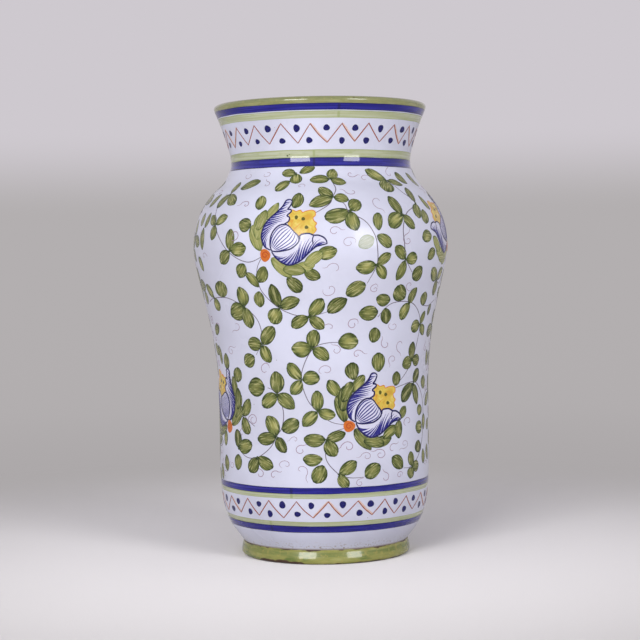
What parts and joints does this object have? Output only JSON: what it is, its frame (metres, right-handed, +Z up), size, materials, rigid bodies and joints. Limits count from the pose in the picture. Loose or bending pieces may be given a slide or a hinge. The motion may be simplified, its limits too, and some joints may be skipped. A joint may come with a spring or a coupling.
{
  "type": "stoneware vase",
  "caption": "Tall round vase with a wide belly, drawn-in neck, flared mouth and ringed foot, glazed white with a painted leaf vine, bands and zigzags.",
  "frame": {"origin": "on the table, under the middle of the foot ring", "axes": "+Z up along the axis the pot was turned on, -Y towards the side seen in the picture"},
  "size_m": [0.2832, 0.2832, 0.5],
  "materials": {
    "white_glaze": "gloss",
    "foot_glaze": "gloss",
    "rim_glaze": "gloss",
    "bare_clay": "matte"
  },
  "bodies": {
    "root": {"foot_ring": "foot_glaze", "base_floor": "bare_clay", "lower_body": "white_glaze", "upper_body": "white_glaze", "neck": "white_glaze", "rim_lip": "rim_glaze"}
  },
  "joints": []
}
